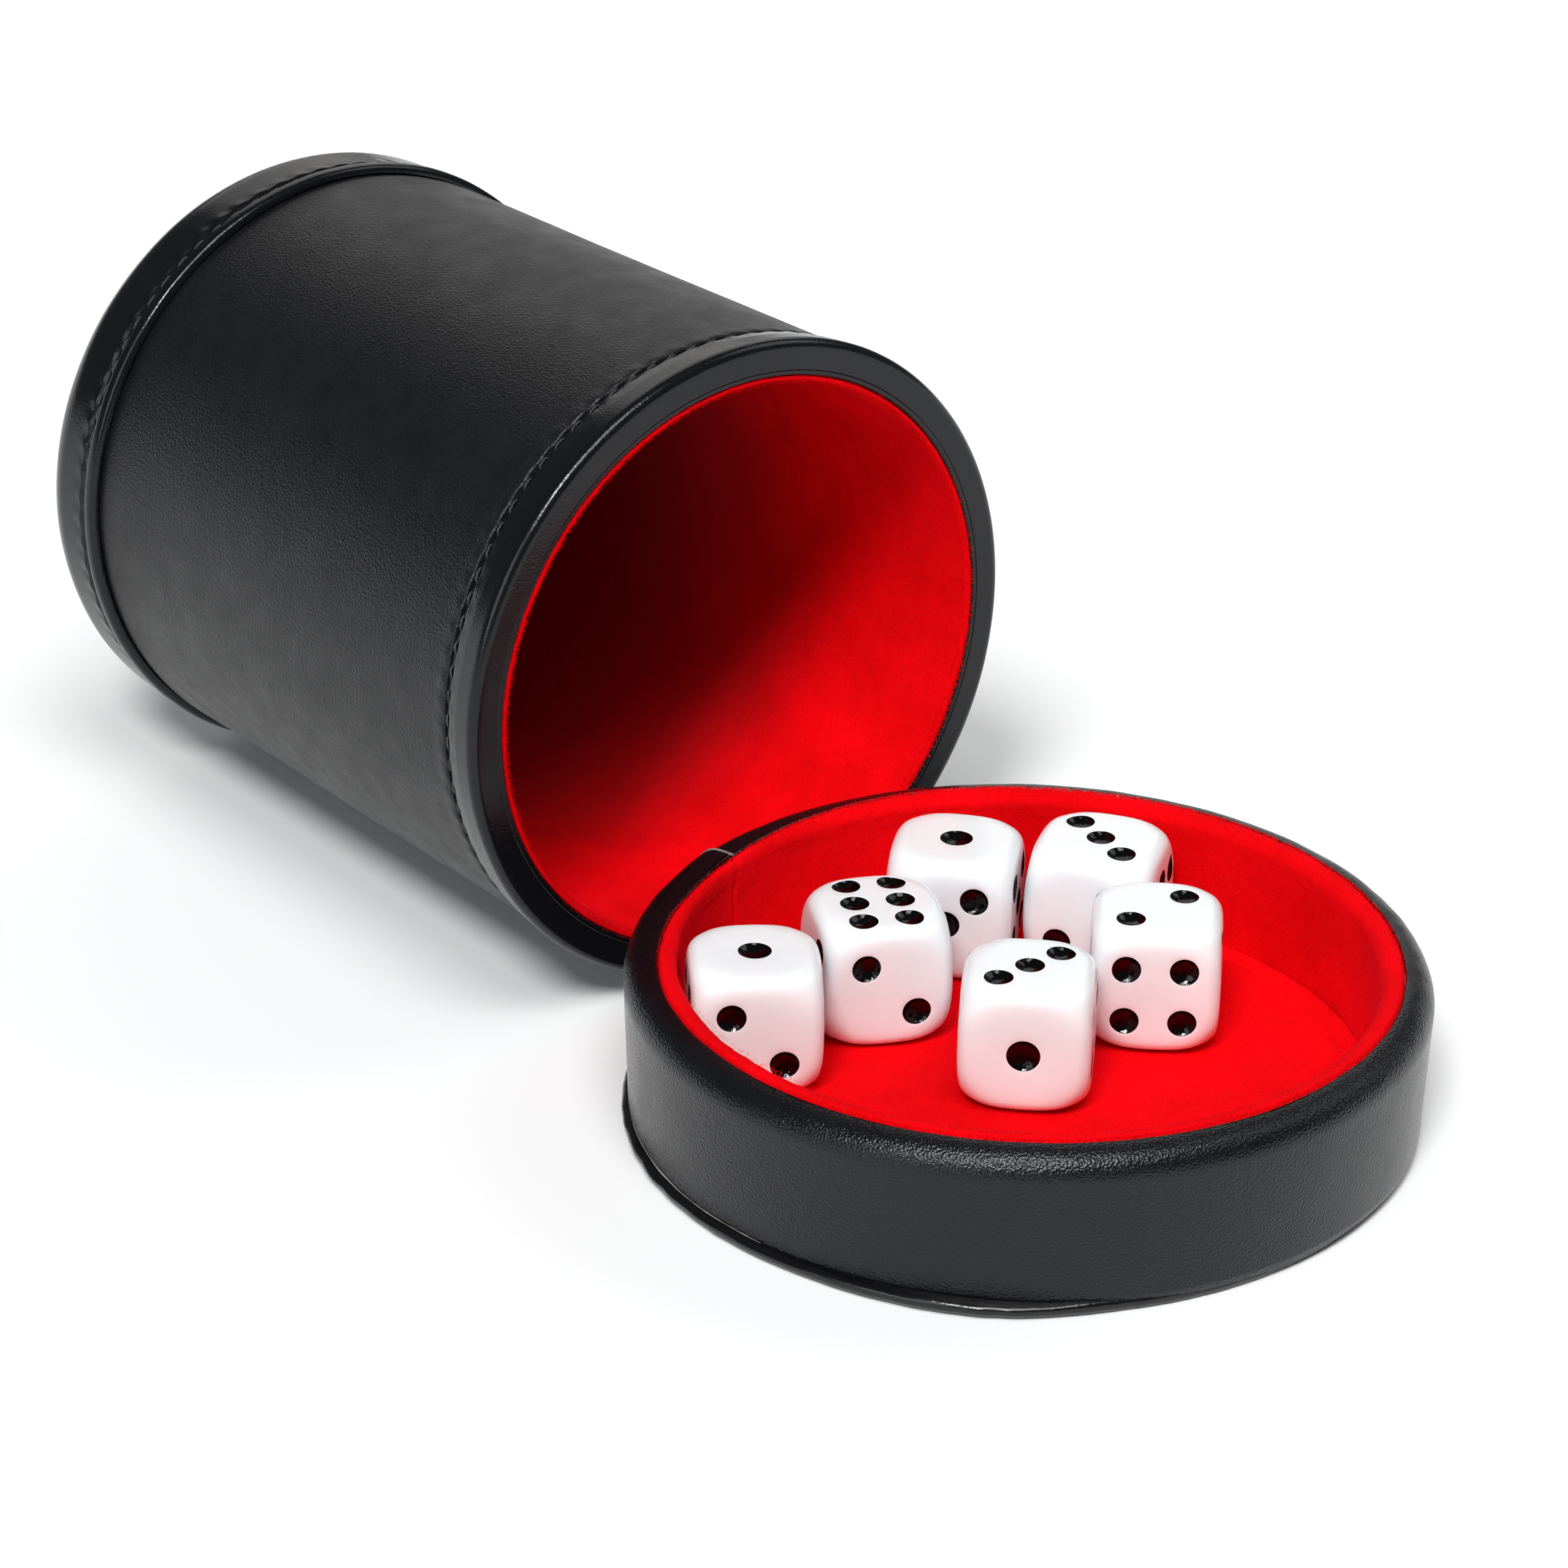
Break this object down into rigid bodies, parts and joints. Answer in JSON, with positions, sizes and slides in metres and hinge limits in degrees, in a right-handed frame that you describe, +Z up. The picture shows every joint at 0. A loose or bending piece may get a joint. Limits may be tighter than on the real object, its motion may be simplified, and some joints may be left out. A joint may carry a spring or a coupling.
{
  "type": "dice cup",
  "caption": "Leather dice cup with velvet lining lying on its side, its shallow round lid upside down in front and holding loose dice.",
  "frame": {"origin": "on the table, under the centre of the upside-down lid", "axes": "+Z up; +Y from the lid towards the base of the lying cup, whose mouth faces -Y; +X to the right when looking along +Y"},
  "size_m": [0.0972, 0.1973, 0.0833],
  "materials": {
    "board": "grey board, matte",
    "grained_leather": "fine grain, soft sheen",
    "smooth_leather": "smooth, stretched over an edge, soft sheen",
    "glossy_leather": "turned edge, glossy",
    "red_velvet": "short-pile velvet",
    "white_acrylic": "polished, with glossy black pips"
  },
  "bodies": {
    "cup": {"cup_wall_tube": "board", "cup_body_cover": "grained_leather", "cup_mouth_band": "smooth_leather", "cup_base_collar": "smooth_leather", "cup_base_cover": "grained_leather", "cup_base_board": "board", "cup_lining": "red_velvet", "cup_floor_pad": "red_velvet"},
    "lid": {"lid_wall_ring": "board", "lid_side_cover": "smooth_leather", "lid_top_cover": "glossy_leather", "lid_top_board": "board", "lid_wall_lining": "red_velvet", "lid_velvet_bead": "red_velvet", "lid_floor_pad": "red_velvet"},
    "die_1_body": {"die_1": "white_acrylic"},
    "die_2_body": {"die_2": "white_acrylic"},
    "die_3_body": {"die_3": "white_acrylic"},
    "die_4_body": {"die_4": "white_acrylic"},
    "die_5_body": {"die_5": "white_acrylic"},
    "die_6_body": {"die_6": "white_acrylic"}
  },
  "joints": [
    {"name": "lid_lift", "type": "slide", "parent": "cup", "child": "lid", "axis": [0, 0, 1], "range_m": [0, 0.12]},
    {"name": "die_1_lift", "type": "slide", "parent": "lid", "child": "die_1_body", "axis": [0, 0, 1], "range_m": [0, 0.05]},
    {"name": "die_2_lift", "type": "slide", "parent": "lid", "child": "die_2_body", "axis": [0, 0, 1], "range_m": [0, 0.05]},
    {"name": "die_3_lift", "type": "slide", "parent": "lid", "child": "die_3_body", "axis": [0, 0, 1], "range_m": [0, 0.05]},
    {"name": "die_4_lift", "type": "slide", "parent": "lid", "child": "die_4_body", "axis": [0, 0, 1], "range_m": [0, 0.05]},
    {"name": "die_5_lift", "type": "slide", "parent": "lid", "child": "die_5_body", "axis": [0, 0, 1], "range_m": [0, 0.05]},
    {"name": "die_6_lift", "type": "slide", "parent": "lid", "child": "die_6_body", "axis": [0, 0, 1], "range_m": [0, 0.05]}
  ]
}
